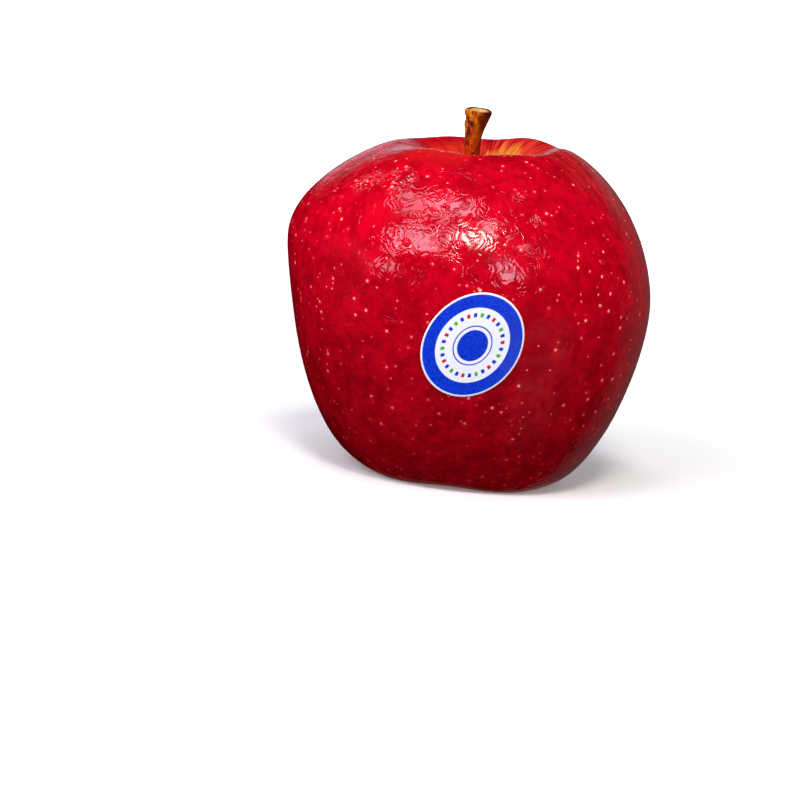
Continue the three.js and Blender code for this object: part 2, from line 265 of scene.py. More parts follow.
def outline(theta):
    """The four stretches of the outline in the directions theta, as cubic curves of (radius, height)."""
    lobe = np.cos(LOBES * (theta - LOBE_PHASE))

    def point(radius, height):
        return np.stack([radius + 0 * theta, height + 0 * theta], -1)

    floor = point(*CAVITY_FLOOR)
    crest = point(
        around(CREST_RADIUS, theta) + LOBE_ON_CREST_RADIUS * lobe,
        around(CREST_HEIGHT, theta) + around(LOBE_ON_CREST_HEIGHT, theta) * lobe,
    )
    cheek = point(around(CHEEK_RADIUS, theta) + LOBE_ON_CHEEK_RADIUS * lobe, around(CHEEK_HEIGHT, theta))
    foot = point(around(FOOT_RADIUS, theta), GROOVE_BETWEEN_FEET * (1 - lobe) / 2 - FOOT_PRESSED_FLAT)
    eye = point(*BASIN_FLOOR)
    above = around(SHOULDER_ABOVE_CHEEK, theta)
    outside = around(SOLE_OUTSIDE_FOOT, theta)
    shoulder_depth = cheek[..., 0] - crest[..., 0] - LIP_OUTSIDE_CREST
    below = even_reach(above, shoulder_depth, cheek[..., 0] - foot[..., 0] - outside)
    crest_depth = crest[..., 1] - cheek[..., 1] - above
    lip = even_reach(LIP_OUTSIDE_CREST, crest_depth, crest[..., 1] - floor[..., 1] - CAVITY_RISE[1])
    return (
        (floor, floor + point(*CAVITY_RISE), crest - point(lip, 0), crest),
        (crest, crest + point(LIP_OUTSIDE_CREST, 0), cheek + point(0, above), cheek),
        (cheek, cheek - point(0, below), foot + point(outside, 0), foot),
        (foot, foot - point(SOLE_INSIDE_FOOT, 0), eye + point(*BASIN_RISE), eye),
    )


def along_cubic(curve, along):
    """The point at a share of a cubic curve."""
    a, b, c, d = curve
    rest = 1 - along
    return rest**3 * a + 3 * rest**2 * along * b + 3 * rest * along**2 * c + along**3 * d


def swollen(theta, flat):
    """Points of the skin from their (radius, height), with the slow swells."""
    radius, height = flat[..., 0], flat[..., 1]
    push = sum(size * np.sin(count * theta + turn * height + start) for count, size, turn, start in SWELLS)
    radius = radius * (1 + push * radius / CHEEK_RADIUS[0] ** 2)
    return np.stack([radius * np.cos(theta), radius * np.sin(theta), np.maximum(height, 0)], -1)


def skin_radius(theta, height):
    """The skin's radius at heights between the foot and the crest, by halving."""
    _, shoulder, flank = outline(theta)[:3]
    upper = (height > shoulder[3][..., 1])[..., None]
    curve = [np.where(upper, a, b) for a, b in zip(shoulder, flank)]
    low = np.zeros_like(theta)[..., None]
    high = np.ones_like(low)
    for _ in range(26):
        middle = (low + high) / 2
        over = along_cubic(curve, middle)[..., 1:] > height[..., None]
        low = np.where(over, middle, low)
        high = np.where(over, high, middle)
    point = swollen(theta, along_cubic(curve, low))
    return np.hypot(point[..., 0], point[..., 1])


def skin_spot(azimuth, height):
    """One point of the skin and its outward direction, as vectors."""
    def place(theta, level):
        radius = float(skin_radius(np.array(theta), np.array(level)))
        return Vector((radius * math.cos(theta), radius * math.sin(theta), level))

    step = 0.01
    middle = place(azimuth, height)
    east = place(azimuth + step, height) - middle
    up = place(azimuth, height + step) - middle
    return middle, east.cross(up).normalized()


def mesh_object(name, points, faces, material):
    """A smooth-shaded object from points in millimetres."""
    mesh = bpy.data.meshes.new(name)
    mesh.from_pydata([tuple(point) for point in np.asarray(points) * MM], [], faces)
    mesh.materials.append(material)
    mesh.shade_smooth()
    mesh.update()
    made = bpy.data.objects.new(name, mesh)
    bpy.context.scene.collection.objects.link(made)
    return made


def ring_faces(rows, sides, closed=True):
    """Faces over rings of points, in the order first end, rings, last end; the rings run down."""
    def corner(row, side):
        return 1 + row * sides + side % sides

    faces = []
    for side in range(sides):
        faces.append((0, corner(0, side), corner(0, side + 1)))
        for row in range(rows - 1):
            across = (corner(row, side + 1), corner(row, side))
            faces.append((*across, corner(row + 1, side), corner(row + 1, side + 1)))
        if closed:
            faces.append((rows * sides + 1, corner(rows - 1, side + 1), corner(rows - 1, side)))
    return faces


def ring_object(name, rings, first, last, material):
    """A closed body from rings of points between two end points."""
    rings = np.asarray(rings)
    rows, sides = rings.shape[:2]
    points = np.concatenate([[first], rings.reshape(-1, 3), [last]])
    return mesh_object(name, points, ring_faces(rows, sides), material)


def smooth_step(value, low, high):
    """Zero below low, one above high, with an even rise between."""
    share = np.clip((value - low) / (high - low), 0, 1)
    return share * share * (3 - 2 * share)


def through_points(points, along):
    """A smooth path through points, at shares from 0 to 1, as a Catmull-Rom curve."""
    points = np.asarray(points, float)
    first = 2 * points[0] - points[1]
    last = 2 * points[-1] - points[-2]
    knots = np.concatenate([[first], points, [last]])
    place = np.clip(np.asarray(along) * (len(points) - 1), 0, len(points) - 1 - 1e-9)
    index = place.astype(int)
    t = (place - index)[..., None]
    a, b, c, d = (knots[index + offset] for offset in range(4))
    return 0.5 * (2 * b + (c - a) * t + (2 * a - 5 * b + 4 * c - d) * t**2 + (3 * b - a - 3 * c + d) * t**3)


class Shader:
    """A material's node tree, with short calls for its nodes; lengths in the materials are in metres."""

    def __init__(self, name):
        self.material = bpy.data.materials.new(name)
        self.material.use_nodes = True
        self.tree = self.material.node_tree
        self.surface = self.tree.nodes["Principled BSDF"]

    def node(self, kind, **settings):
        made = self.tree.nodes.new(kind)
        for key, value in settings.items():
            setattr(made, key, value)
        return made

    def feed(self, socket, value):
        if isinstance(value, bpy.types.NodeSocket):
            self.tree.links.new(value, socket)
        else:
            socket.default_value = value

    def set(self, **values):
        """Feeds the surface's inputs; an underscore in a name stands for a space."""
        for key, value in values.items():
            self.feed(self.surface.inputs[key.replace("_", " ")], value)

    def place(self):
        """The point's place in the object's frame, in metres."""
        return self.node("ShaderNodeTexCoord").outputs["Object"]

    def attribute(self, name, output="Fac"):
        return self.node("ShaderNodeAttribute", attribute_name=name).outputs[output]

    def math(self, operation, first, second=0.0):
        made = self.node("ShaderNodeMath", operation=operation)
        self.feed(made.inputs[0], first)
        self.feed(made.inputs[1], second)
        return made.outputs[0]

    def add(self, first, second):
        return self.math("ADD", first, second)

    def times(self, first, second):
        return self.math("MULTIPLY", first, second)

    def vector(self, operation, first, second=(0, 0, 0), scale=1.0):
        made = self.node("ShaderNodeVectorMath", operation=operation)
        self.feed(made.inputs[0], first)
        if operation == "SCALE":
            self.feed(made.inputs["Scale"], scale)
        else:
            self.feed(made.inputs[1], second)
        return made.outputs["Value" if operation in ("LENGTH", "DISTANCE", "DOT_PRODUCT") else "Vector"]

    def parts(self, vector):
        made = self.node("ShaderNodeSeparateXYZ")
        self.feed(made.inputs[0], vector)
        return made.outputs

    def ramp(self, value, low, high, start=0.0, end=1.0):
        """start below low, end above high, smooth between."""
        made = self.node("ShaderNodeMapRange", interpolation_type="SMOOTHSTEP")
        for index, item in enumerate((value, low, high, start, end)):
            self.feed(made.inputs[index], item)
        return made.outputs[0]

    def noise(self, place, scale, detail=2.0, distortion=0.0, roughness=0.5):
        made = self.node("ShaderNodeTexNoise")
        self.feed(made.inputs["Vector"], place)
        self.feed(made.inputs["Scale"], scale)
        self.feed(made.inputs["Detail"], detail)
        self.feed(made.inputs["Roughness"], roughness)
        self.feed(made.inputs["Distortion"], distortion)
        return made.outputs[0]

    def cells(self, place, scale):
        """The distance to the nearest of scattered points, and a random value of that point."""
        made = self.node("ShaderNodeTexVoronoi")
        self.feed(made.inputs["Vector"], place)
        self.feed(made.inputs["Scale"], scale)
        return made.outputs["Distance"], self.parts(made.outputs["Color"])[0]

    def mix(self, share, first, second):
        """A share of the way from the first colour to the second; each is a socket or a screen colour."""
        made = self.node("ShaderNodeMix", data_type="RGBA")
        self.feed(made.inputs["Factor"], share)
        for socket, value in zip([s for s in made.inputs if s.type == "RGBA"], (first, second)):
            self.feed(socket, value if isinstance(value, bpy.types.NodeSocket) else rgb(*value))
        return [s for s in made.outputs if s.type == "RGBA"][0]

    def bump(self, height, distance):
        """A normal that follows a height; distance is in metres."""
        made = self.node("ShaderNodeBump")
        self.feed(made.inputs["Height"], height)
        self.feed(made.inputs["Distance"], distance)
        return made.outputs["Normal"]


def rgb(red, green, blue):
    """A colour given as it looks on a screen, from 0 to 255, as the linear colour that a shader takes."""
    def linear(value):
        share = value / 255
        return share / 12.92 if share <= 0.04045 else ((share + 0.055) / 1.055) ** 2.4

    return (linear(red), linear(green), linear(blue), 1.0)


def mottled_red(skin, place, z, streaks):
    """Crimson, mottled at three sizes, and darker toward the foot: partly the fruit's own deeper colour,
    partly painted shade.
    """
    clouds = skin.noise(place, 150.0, detail=2.0)
    mottle = skin.noise(place, 460.0, detail=3.0, distortion=0.6)
    tone = skin.add(skin.times(clouds, 0.38), skin.add(skin.times(streaks, 0.2), skin.times(mottle, 0.42)))
    ripe = skin.ramp(tone, 0.38, 0.62)
    above = skin.mix(ripe, *SKIN_ABOVE)
    below = skin.mix(ripe, *SKIN_BELOW_WITH_PAINTED_SHADE)
    # The darker colour below is partly painted shade, where less light falls under the fruit.
    return skin.mix(skin.ramp(z, 0.0, 0.06), below, above)


def bare_ground(skin, red, radius, heading, upper, streak_place):
    """Orange ground that shows in the cavity and in streaks over its lip, more toward the back right."""
    side = skin.vector("DOT_PRODUCT", heading, (0.8, 0.6, 0.0))
    back = skin.vector("DOT_PRODUCT", heading, (0.42, 0.91, 0.0))
    reach = skin.ramp(back, 0.9, 0.99, 0.015, 0.022)
    hollow = skin.times(skin.ramp(radius, 0.007, reach, 1.0, 0.0), skin.ramp(back, 0.1, 0.9, 0.35, 1.0))
    lip = skin.times(skin.ramp(radius, 0.015, 0.034, 0.43, 0.0), skin.ramp(side, 0.2, 0.8))
    opening = skin.times(skin.math("MAXIMUM", hollow, lip), upper)
    threshold = skin.math("SUBTRACT", 0.88, skin.times(opening, 0.62))
    tongues = skin.noise(streak_place, 0.62, detail=3.0, distortion=0.7)
    bare = skin.ramp(tongues, skin.math("SUBTRACT", threshold, 0.1), skin.add(threshold, 0.1))
    ground = skin.mix(skin.ramp(opening, 0.35, 0.95), *SKIN_GROUND)
    warm = skin.times(skin.ramp(radius, 0.008, 0.016, 0.9, 0.0), skin.ramp(tongues, 0.38, 0.58, 0.35, 1.0))
    warm = skin.times(warm, upper)
    return skin.mix(bare, skin.mix(warm, red, SKIN_WARM), ground)


def shoulder_lines(skin, red, radius, heading, upper, streak_place):
    """Fine maroon and rosy lines down the shoulder, clearest toward the right."""
    side = skin.vector("DOT_PRODUCT", heading, (0.8, 0.6, 0.0))
    lines = skin.noise(skin.vector("SCALE", streak_place, scale=3.4), 1.0, detail=3.0, roughness=0.6)
    shoulder = skin.times(upper, skin.ramp(radius, 0.034, 0.026))
    lined = skin.times(skin.ramp(side, 0.0, 0.75, 0.02, 0.6), shoulder)
    maroon, rosy = SKIN_LINES
    red = skin.mix(skin.times(lined, skin.ramp(lines, 0.5, 0.6)), red, rosy)
    return skin.mix(skin.times(lined, skin.ramp(lines, 0.5, 0.4)), red, maroon)


def freckles(skin, place, z):
    """Scattered dots and the halos around them: sparse and larger above, dense and fine toward the foot."""
    dots = 0.0
    halos = 0.0
    for scale, core, edge, pass_low, pass_high in FRECKLE_SIZES:
        distance, chance = skin.cells(place, scale)
        shown = skin.math("GREATER_THAN", chance, skin.ramp(z, 0.008, 0.062, pass_low, pass_high))
        strength = skin.times(shown, skin.ramp(chance, 0.4, 1.0, 0.35, 1.0))
        dot = skin.times(skin.ramp(distance, core, edge, 1.0, 0.0), strength)
        halo = skin.times(skin.ramp(distance, edge, 0.42, 1.0, 0.0), shown)
        dots = skin.math("MAXIMUM", dots, dot)
        halos = skin.math("MAXIMUM", halos, halo)
    return dots, halos


def painted_glint_flecks(skin, place):
    """Small patches of painted glints: white flecks and short strokes that stand in for sparkles of light off
    the wet skin.
    """
    glint_patches = 0.0
    for azimuth, height, spread in PAINTED_GLINT_SPOTS:
        centre = skin_spot(math.radians(azimuth), height)[0] * MM
        distance = skin.vector("DISTANCE", place, tuple(centre))
        glint_patches = skin.math("MAXIMUM", glint_patches, skin.ramp(distance, 0.3 * spread * MM, spread * MM, 1.0, 0.0))
    distance, chance = skin.cells(place, 1300.0)
    flecks = skin.times(skin.ramp(distance, 0.14, 0.3, 1.0, 0.0), skin.ramp(chance, 0.5, 0.8))
    wander = skin.noise(place, 620.0, detail=2.0, distortion=1.2)
    off_line = skin.math("ABSOLUTE", skin.math("SUBTRACT", wander, 0.56))
    glint_strokes = skin.ramp(off_line, 0.004, 0.02, 0.42, 0.0)
    return skin.times(skin.math("MAXIMUM", flecks, glint_strokes), glint_patches)


def ripples(skin, place):
    """Fine curling ripples of wax and water, the contour lines of a slow noise, and their creases."""
    swirl = skin.noise(place, 280.0, detail=0.8, distortion=0.9)
    wave = skin.math("SINE", skin.times(swirl, 42.0))
    calm = skin.ramp(skin.noise(place, 170.0), 0.35, 0.55, 0.5, 1.0)
    crease = skin.times(skin.ramp(wave, -0.9, -0.3, 1.0, 0.0), calm)
    return skin.times(wave, calm), crease


def skin_material():
    """Mottled crimson with streaks that run from the stem, orange in the cavity, and pale freckles."""
    skin = Shader("apple_skin")
    place = skin.place()
    x, y, z = skin.parts(place)
    level = skin.node("ShaderNodeCombineXYZ")
    skin.feed(level.inputs[0], x)
    skin.feed(level.inputs[1], y)
    radius = skin.vector("LENGTH", level.outputs[0])
    heading = skin.vector("NORMALIZE", level.outputs[0])

    # Streaks: noise that changes quickly around the fruit and slowly down it.
    meridian = skin.vector("SCALE", heading, scale=9.0)
    lift = skin.node("ShaderNodeCombineXYZ")
    skin.feed(lift.inputs[2], skin.times(z, 36.0))
    streak_place = skin.vector("ADD", meridian, lift.outputs[0])
    streaks = skin.noise(streak_place, 1.0, detail=5.0, distortion=0.3, roughness=0.62)

    upper = skin.ramp(z, 0.050, 0.062)
    red = mottled_red(skin, place, z, streaks)
    red = bare_ground(skin, red, radius, heading, upper, streak_place)
    red = shoulder_lines(skin, red, radius, heading, upper, streak_place)

    # An orange blush on the lip, toward the front left.
    front = skin.vector("DOT_PRODUCT", heading, (-0.5, -0.866, 0.0))
    blush = skin.times(skin.ramp(front, 0.88, 1.0, 0.0, 0.65), skin.ramp(radius, 0.028, 0.014))
    red = skin.mix(skin.times(blush, upper), red, SKIN_BLUSH)

    # A duller, browner ground in the basin underneath.
    basin = skin.times(skin.ramp(z, 0.0015, 0.006), skin.ramp(radius, 0.004, 0.0125, 1.0, 0.0))
    lower = skin.ramp(z, 0.010, 0.012, 1.0, 0.0)
    red = skin.mix(skin.times(skin.times(basin, lower), 0.75), red, SKIN_BASIN)

    # Freckles: none in the hollows, each with a brighter red around it, and duller toward the foot.
    open_skin = skin.ramp(radius, 0.014, 0.021)
    dots, halos = freckles(skin, place, z)
    dots = skin.times(dots, open_skin)
    glow = skin.times(skin.times(halos, open_skin), skin.ramp(z, 0.0, 0.05, 0.1, 0.3))
    red = skin.mix(glow, red, SKIN_HALO)
    pale = skin.mix(skin.ramp(z, 0.005, 0.045), *SKIN_FRECKLES)
    colour = skin.mix(skin.times(dots, 0.92), red, pale)
    # Painted glints: small patches of white flecks and strokes where the wet skin would sparkle.
    colour = skin.mix(painted_glint_flecks(skin, place), colour, SKIN_PAINTED_GLINT)

    ripple, crease = ripples(skin, place)
    dimples = skin.times(skin.noise(place, 290.0, detail=2.0), 5.0)
    height = skin.add(skin.add(ripple, dimples), skin.times(dots, 2.0))
    skin.set(
        Base_Color=colour,
        Roughness=skin.ramp(skin.noise(place, 320.0, detail=3.0), 0.3, 0.7, 0.08, 0.16),
        IOR=1.45,
        Specular_IOR_Level=skin.ramp(crease, 0.0, 1.0, 0.5, 0.12),
        Normal=skin.bump(height, 0.000016),
    )
    return skin.material


def stem_material():
    """Brown bark with long ridges and dark flecks, painted shade that darkens its right side, and a pale cut
    end.
    """
    stem = Shader("stem_wood")
    place = stem.place()
    along = stem.vector("MULTIPLY", place, (1.0, 1.0, 0.3))
    grain = stem.noise(along, 1100.0, detail=4.0, distortion=0.6)
    patches = stem.noise(place, 330.0, detail=3.0, distortion=0.4)
    x, _, z = stem.parts(place)
    fresh = stem.mix(stem.ramp(z, 0.070, 0.077), *STEM_BARK_FRESH)
    bark = stem.mix(stem.ramp(grain, 0.35, 0.65), STEM_BARK_DARK, fresh)
    # Painted shade: the bark darkens toward +X, the stem's right side, as if the light fell from the left.
    bark = stem.mix(stem.ramp(x, -0.0023, 0.0002, 0.0, 0.85), bark, STEM_PAINTED_SHADE)
    bark = stem.mix(stem.ramp(patches, 0.5, 0.62), bark, STEM_PATCH)
    flecks = stem.noise(place, 1500.0, detail=2.0)
    bark = stem.mix(stem.ramp(flecks, 0.62, 0.7), bark, STEM_FLECK)
    cut = stem.attribute("cut")
    pith = stem.noise(place, 1300.0, detail=3.0)
    pale = stem.mix(stem.ramp(pith, 0.35, 0.65), *STEM_PITH)
    colour = stem.mix(stem.ramp(cut, 0.0, 0.12), bark, STEM_CUT_EDGE)
    colour = stem.mix(stem.ramp(cut, 0.2, 0.4), colour, pale)
    stem.set(
        Base_Color=colour,
        Roughness=stem.ramp(patches, 0.3, 0.7, 0.22, 0.42),
        IOR=1.38,
        Specular_IOR_Level=0.2,
        Normal=stem.bump(grain, 0.00016),
    )
    return stem.material


def calyx_material():
    """Dry grey-brown leaf with paler wool."""
    calyx = Shader("dried_calyx")
    place = calyx.place()
    grain = calyx.noise(calyx.vector("MULTIPLY", place, (1.0, 1.0, 0.4)), 1500.0, detail=4.0)
    leaf = calyx.mix(calyx.ramp(grain, 0.35, 0.65), *CALYX_LEAF)
    wool = calyx.noise(place, 3800.0, detail=2.0)
    calyx.set(
        Base_Color=calyx.mix(calyx.ramp(wool, 0.6, 0.72), leaf, CALYX_WOOL),
        Roughness=calyx.ramp(grain, 0.3, 0.7, 0.8, 0.95),
        Normal=calyx.bump(grain, 0.0001),
    )
    return calyx.material


def label_material():
    """A plain printed oval: a blue rim, a white field, a ring of dots and a blue oval in the middle."""
    label = Shader("label_paper")
    place = label.attribute("label_place", "Vector")
    across, up, _ = label.parts(place)
    reach = label.vector("LENGTH", place)
    fibre = label.noise(label.place(), 2400.0, detail=3.0)
    blue = label.mix(label.ramp(fibre, 0.3, 0.7), *LABEL_BLUE)
    white = label.mix(label.ramp(fibre, 0.3, 0.7), *LABEL_WHITE)

    def band(inner, outer):
        """The part of the oval between two shares of its reach."""
        edge = 0.008
        return label.times(
            label.ramp(reach, inner - edge, inner + edge),
            label.ramp(reach, outer - edge, outer + edge, 1.0, 0.0),
        )

    angle = label.math("ARCTAN2", up, across)
    spots = label.ramp(label.math("COSINE", label.times(angle, 28.0)), -0.1, 0.25)
    printed = label.math("MAXIMUM", band(0.72, 0.965), band(-1.0, 0.3))
    printed = label.math("MAXIMUM", printed, band(0.36, 0.385))
    turn = label.math("COSINE", label.times(angle, 7.0))
    ink = label.mix(label.math("GREATER_THAN", turn, 0.7), blue, LABEL_RED)
    ink = label.mix(label.math("LESS_THAN", turn, -0.7), ink, LABEL_GREEN)
    colour = label.mix(printed, white, blue)
    label.set(
        Base_Color=label.mix(label.times(band(0.54, 0.62), spots), colour, ink),
        Roughness=label.ramp(fibre, 0.3, 0.7, 0.28, 0.38),
        Normal=label.bump(fibre, 0.00002),
    )
    return label.material


def water_material():
    """Beads of water, opaque and coloured deep red like the skin under them, with a hard gloss."""
    water = Shader("water_bead")
    depth = water.noise(water.place(), 700.0)
    water.set(Base_Color=water.mix(water.ramp(depth, 0.3, 0.7), *WATER), Roughness=0.03, IOR=1.33)
    return water.material


def make_fruit(material):
    """The fine skin, by the CAD part's formula, with shallow dents."""
    theta = np.linspace(0, 2 * math.pi, SKIN_SIDES, endpoint=False)
    rows = []
    for count, curve in zip(SKIN_ROWS, outline(theta)):
        for row in range(count):
            # The rows gather a little at the knots, where the outline bends most.
            even = row / count
            along = (1 - ROW_GATHER) * even + ROW_GATHER * (1 - math.cos(math.pi * even)) / 2
            rows.append(swollen(theta, along_cubic(curve, along)))
    rows.append(swollen(theta, outline(theta)[-1][-1]))
    rings = np.array(rows)
    down = np.gradient(rings, axis=0)
    sideways = np.roll(rings, -1, axis=1) - np.roll(rings, 1, axis=1)
    outward = np.cross(down, sideways)
    outward /= np.maximum(np.linalg.norm(outward, axis=-1, keepdims=True), 1e-9)
    dents = np.array([
        sum(size * noise.noise(Vector(point) * fine) for size, fine in DENT_NOISES)
        for point in rings.reshape(-1, 3)
    ]).reshape(rings.shape[:2])
    above_rest = smooth_step(rings[..., 2], 0.0, UNDENTED_HEIGHT)
    inset = SKIN_INSET - DENT_DEPTH * np.clip(dents, -1, 1) * above_rest
    rings = rings - outward * inset[..., None]
    rings[..., 2] = np.maximum(rings[..., 2], 0)
    floor = (0, 0, float(rings[0, :, 2].mean()) - SKIN_END)
    eye = (0, 0, float(rings[-1, :, 2].mean()) + SKIN_END)
    fruit = ring_object("apple_skin", rings, floor, eye, material)
    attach(fruit, "root")
    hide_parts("fruit")


def make_stem(material):
    """The leaning stem, with bark ridges, knobs and a rounded, hollowed cut."""
    along = np.linspace(1, 0, STEM_ROWS + 1)
    middles = through_points(STEM_PATH, along)
    widths = through_points([(width,) for width in STEM_WIDTHS], along)[:, 0]
    theta = np.linspace(0, 2 * math.pi, STEM_SIDES, endpoint=False)
    rings = []
    for share, middle, width in zip(along, middles, widths):
        ridges = sum(size * np.sin(count * theta + turn * share) for count, turn, size in STEM_RIDGES)
        rough = np.array([
            noise.noise(Vector((3 * math.cos(angle), 3 * math.sin(angle), middle[2] * 0.8)))
            for angle in theta
        ])
        knobs = sum(
            size * np.exp(
                -((np.cos(theta - heading) - 1) / STEM_KNOB_SPREAD) ** 2 - ((share - level) / reach) ** 2
            )
            for heading, level, size, reach in STEM_KNOBS
        )
        edge = smooth_step(np.array(share), STEM_EDGE_START, 1.0)
        bark = STEM_BARK + ridges + STEM_ROUGHNESS * rough + knobs
        radius = width / 2 * bark * (1 - STEM_EDGE_ROUNDING * edge**2)
        x = radius * np.cos(theta)
        y = radius * np.sin(theta)
        slant = smooth_step(np.array(share), STEM_SLANT_START, 1.0)
        z = middle[2] + slant * (y * STEM_CUT_RISE_NORTH - x * STEM_CUT_RISE_WEST)
        rings.append(np.stack([middle[0] + x, middle[1] + y, z], -1))
    rim = rings[0]
    top = rim.mean(0)
    cut_rings = [
        top + (rim - top) * share - (0, 0, STEM_CUT_DEPTH * (1 - share**4))
        for share in STEM_CUT_SHARES
    ]
    stem = ring_object("apple_stem", cut_rings + rings, top - (0, 0, STEM_CUT_DEPTH), middles[-1], material)
    # How far inside the cut each vertex lies: 1 in its middle, 0 at its edge and on the bark.
    cut = np.zeros(len(stem.data.vertices), np.float32)
    cut[0] = 1
    for index, share in enumerate(STEM_CUT_SHARES):
        start = 1 + index * STEM_SIDES
        cut[start:start + STEM_SIDES] = 1 - share
    stem.data.attributes.new("cut", "FLOAT", "POINT").data.foreach_set("value", cut)
    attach(stem, "root")
    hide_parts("stem")


def sepal_rings(turn, length_share, curl):
    """One dried sepal: a leaf-shaped blade that hangs out of the basin's floor and curls in."""
    along = np.linspace(0, 1, SEPAL_ROWS)
    path = through_points(SEPAL_PATH, along * length_share)
    heading = np.gradient(path, axis=0)
    heading /= np.linalg.norm(heading, axis=1, keepdims=True)
    theta = np.linspace(0, 2 * math.pi, SEPAL_SIDES, endpoint=False)
    rings = []
    for share, (out, up), (run, rise) in zip(along, path, heading):
        half_width = SEPAL_WIDTH / 2 * (1 - share**1.6) + SEPAL_TIP
        across = half_width * np.sin(theta)
        cupped = curl * (across / half_width) ** 2 * half_width
        thick = SEPAL_THICKNESS * np.cos(theta) * (1 - 0.6 * share) + cupped
        thick = thick + SEPAL_WAVE * math.sin(9 * share + turn) * np.sin(theta)
        rings.append(np.stack([out - rise * thick, across, up + run * thick], -1))
    return np.array(rings), (path[0, 0], 0, path[0, 1]), (path[-1, 0], 0, path[-1, 1])


def turned(points, angle):
    """Points turned about the apple's axis."""
    c, s = math.cos(angle), math.sin(angle)
    points = np.asarray(points, float)
    x, y = points[..., 0], points[..., 1]
    return np.stack([c * x - s * y, s * x + c * y, points[..., 2]], -1)


def make_calyx(material):
    """The dried flower's remains: five curled sepals, a tuft of stamens and the cup they grow from."""
    draw = np.random.default_rng(SEED)
    points = []
    faces = []

    def take(rings, first, last):
        """Adds a closed body to the calyx."""
        start = len(points)
        rows, sides = rings.shape[:2]
        points.extend([first, *rings.reshape(-1, 3), last])
        faces.extend(tuple(start + index for index in face) for face in ring_faces(rows, sides))

    theta = np.linspace(0, 2 * math.pi, CALYX_CUP_SIDES, endpoint=False)
    cup = []
    for radius, height in CALYX_CUP:
        waves = radius * (1 + 0.04 * np.sin(5 * theta) + 0.02 * np.sin(13 * theta))
        waves = np.minimum(waves, CALYX_RADIUS)
        cup.append(np.stack([waves * np.cos(theta), waves * np.sin(theta), height + 0 * theta], -1))
    take(np.array(cup), (0, 0, CALYX_ROOT), (0, 0, CALYX_CUP_MIDDLE))
    for sepal in range(LOBES):
        angle = LOBE_PHASE + (sepal + 0.5) * 2 * math.pi / LOBES
        turn = draw.uniform(0, 6)
        length_share = draw.uniform(0.85, 1.0)
        rings, first, last = sepal_rings(turn, length_share, draw.uniform(-0.35, -0.15))
        take(turned(rings, angle), turned(first, angle), turned(last, angle))
    ring_theta = np.linspace(0, 2 * math.pi, STAMEN_SIDES, endpoint=False)
    for stamen in range(STAMENS):
        angle = 2 * math.pi * stamen / STAMENS + draw.uniform(-0.15, 0.15)
        lean = draw.uniform(0.2, 1.0)
        end = draw.uniform(4.4, 5.4)
        bends = ((1.0, 7.4), (1.2 + 0.3 * lean, 6.2), (1.3 + lean, end))
        spine = through_points(bends, np.linspace(0, 1, len(STAMEN_RADII)))
        rings = np.array([
            np.stack([out + size * np.cos(ring_theta), size * np.sin(ring_theta), up + 0 * ring_theta], -1)
            for (out, up), size in zip(spine, STAMEN_RADII)
        ])
        first = (spine[0, 0], 0, spine[0, 1])
        last = (spine[-1, 0], 0, spine[-1, 1] - 0.1)
        take(turned(rings, angle), turned(first, angle), turned(last, angle))
    calyx = mesh_object("apple_calyx", points, faces, material)
    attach(calyx, "root")
    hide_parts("calyx")


def make_label(material):
    """The paper oval on the skin, with a few shallow wrinkles at its edge."""
    outward = np.array([math.cos(LABEL_AZIMUTH), math.sin(LABEL_AZIMUTH), 0])
    sideways = np.array([-outward[1], outward[0], 0])
    upward = np.array([0, 0, 1.0])
    middle = outward * float(skin_radius(np.array(LABEL_AZIMUTH), np.array(LABEL_HEIGHT)))
    middle = middle + upward * LABEL_HEIGHT
    long_way = sideways * math.cos(LABEL_LEAN) + upward * math.sin(LABEL_LEAN)
    short_way = upward * math.cos(LABEL_LEAN) - sideways * math.sin(LABEL_LEAN)

    def pressed(share, angle, off):
        """Points of the oval, pressed back until they lie off the skin, and their places in it."""
        across = share * np.cos(angle)
        up = share * np.sin(angle)
        points = middle + across[..., None] * long_way * LABEL_LENGTH / 2
        points = points + up[..., None] * short_way * LABEL_WIDTH / 2
        for _ in range(6):
            theta = np.arctan2(points[..., 1], points[..., 0])
            gap = skin_radius(theta, points[..., 2]) + off - np.hypot(points[..., 0], points[..., 1])
            points = points + gap[..., None] * outward
        return points, np.stack([across, up, 0 * up], -1)

    angle = np.linspace(0, 2 * math.pi, LABEL_SIDES, endpoint=False)
    shares = np.linspace(1 / LABEL_RINGS, 1, LABEL_RINGS)
    share_grid, angle_grid = np.meshgrid(shares, angle, indexing="ij")
    rim = smooth_step(share_grid, LABEL_WRINKLE_START, 1.0)
    wave = np.maximum(np.sin(7 * angle_grid + 1.2) + 0.6 * np.sin(12 * angle_grid + 4.0) - 0.5, 0)
    lifted = LABEL_WRINKLE_LIFT * rim * wave
    outer, outer_place = pressed(share_grid, angle_grid, LABEL_THICKNESS + lifted)
    inner, inner_place = pressed(share_grid[::-1], angle_grid, lifted[::-1])
    centre = np.zeros(1)
    first = pressed(centre, centre, LABEL_THICKNESS)[0][0]
    last = pressed(centre, centre, 0.0)[0][0]
    label = ring_object("apple_label", np.concatenate([outer, inner]), first, last, material)
    places = np.concatenate([
        [(0, 0, 0)], outer_place.reshape(-1, 3), inner_place.reshape(-1, 3), [(0, 0, 0)],
    ]).astype(np.float32)
    attribute = label.data.attributes.new("label_place", "FLOAT_VECTOR", "POINT")
    attribute.data.foreach_set("vector", places.ravel())
    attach(label, "root")
    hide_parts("label")


